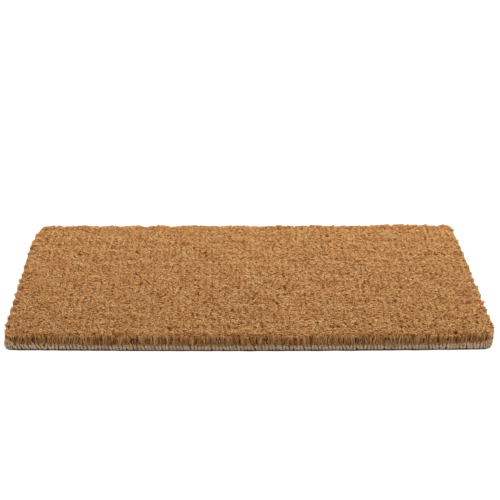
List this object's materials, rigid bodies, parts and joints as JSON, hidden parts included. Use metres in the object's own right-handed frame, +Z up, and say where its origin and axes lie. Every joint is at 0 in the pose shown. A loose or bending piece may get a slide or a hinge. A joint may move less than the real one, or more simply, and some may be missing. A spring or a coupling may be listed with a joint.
{
  "type": "door mat",
  "caption": "Rectangular handwoven coir brush mat with dense cut pile over a flat yarn base and a corded, yarn-bound edge; it lies on the floor to scrape and dry shoes.",
  "frame": {"origin": "centre of the underside, on the floor plane", "axes": "+X along the mat's 600 mm length towards the right-hand end, +Y along its 400 mm depth towards the back edge, +Z up out of the pile"},
  "size_m": [0.5998, 0.4, 0.02],
  "materials": {
    "pile_fibre": "stiff cut coir fibre, matt, golden brown, darker towards the roots",
    "edge_yarn": "greige plied yarn wound round the edge cord, matt and slightly hairy",
    "edge_cord": "thick laid coir cord, matt",
    "weft_yarn": "plied coir yarn, matt",
    "warp_yarn": "two-ply twisted coir yarn, matt and slightly hairy",
    "stuffer_yarn": "straight coarse coir yarn, matt"
  },
  "bodies": {
    "root": {"edge_cord_front": "edge_cord", "edge_cord_back": "edge_cord", "edge_cord_left": "edge_cord", "edge_cord_right": "edge_cord", "edge_binding_front": "edge_yarn", "edge_binding_back": "edge_yarn", "edge_binding_left": "edge_yarn", "edge_binding_right": "edge_yarn", "corner_binding_front_left": "edge_yarn", "corner_binding_front_right": "edge_yarn", "corner_binding_back_left": "edge_yarn", "corner_binding_back_right": "edge_yarn", "weft_lower": "weft_yarn", "weft_upper": "weft_yarn", "warp_chain_01": "warp_yarn", "warp_chain_02": "warp_yarn", "warp_chain_03": "warp_yarn", "warp_chain_04": "warp_yarn", "warp_chain_05": "warp_yarn", "warp_chain_06": "warp_yarn", "warp_chain_07": "warp_yarn", "warp_chain_08": "warp_yarn", "warp_chain_09": "warp_yarn", "warp_chain_10": "warp_yarn", "warp_chain_11": "warp_yarn", "warp_chain_12": "warp_yarn", "warp_chain_13": "warp_yarn", "warp_chain_14": "warp_yarn", "warp_chain_15": "warp_yarn", "stuffer_warp_01": "stuffer_yarn", "stuffer_warp_02": "stuffer_yarn", "stuffer_warp_03": "stuffer_yarn", "stuffer_warp_04": "stuffer_yarn", "stuffer_warp_05": "stuffer_yarn", "stuffer_warp_06": "stuffer_yarn", "stuffer_warp_07": "stuffer_yarn", "stuffer_warp_08": "stuffer_yarn", "stuffer_warp_09": "stuffer_yarn", "stuffer_warp_10": "stuffer_yarn", "stuffer_warp_11": "stuffer_yarn", "stuffer_warp_12": "stuffer_yarn", "stuffer_warp_13": "stuffer_yarn", "stuffer_warp_14": "stuffer_yarn", "stuffer_warp_15": "stuffer_yarn", "pile_rows_01_05": "pile_fibre", "pile_rows_06_10": "pile_fibre", "pile_rows_11_15": "pile_fibre", "pile_rows_16_20": "pile_fibre", "pile_rows_21_25": "pile_fibre", "pile_rows_26_30": "pile_fibre", "pile_rows_31_35": "pile_fibre", "pile_rows_36_40": "pile_fibre", "pile_rows_41_45": "pile_fibre", "pile_rows_46_50": "pile_fibre", "pile_rows_51_55": "pile_fibre", "pile_rows_56_60": "pile_fibre", "pile_rows_61_65": "pile_fibre", "pile_rows_66_70": "pile_fibre"}
  },
  "joints": []
}
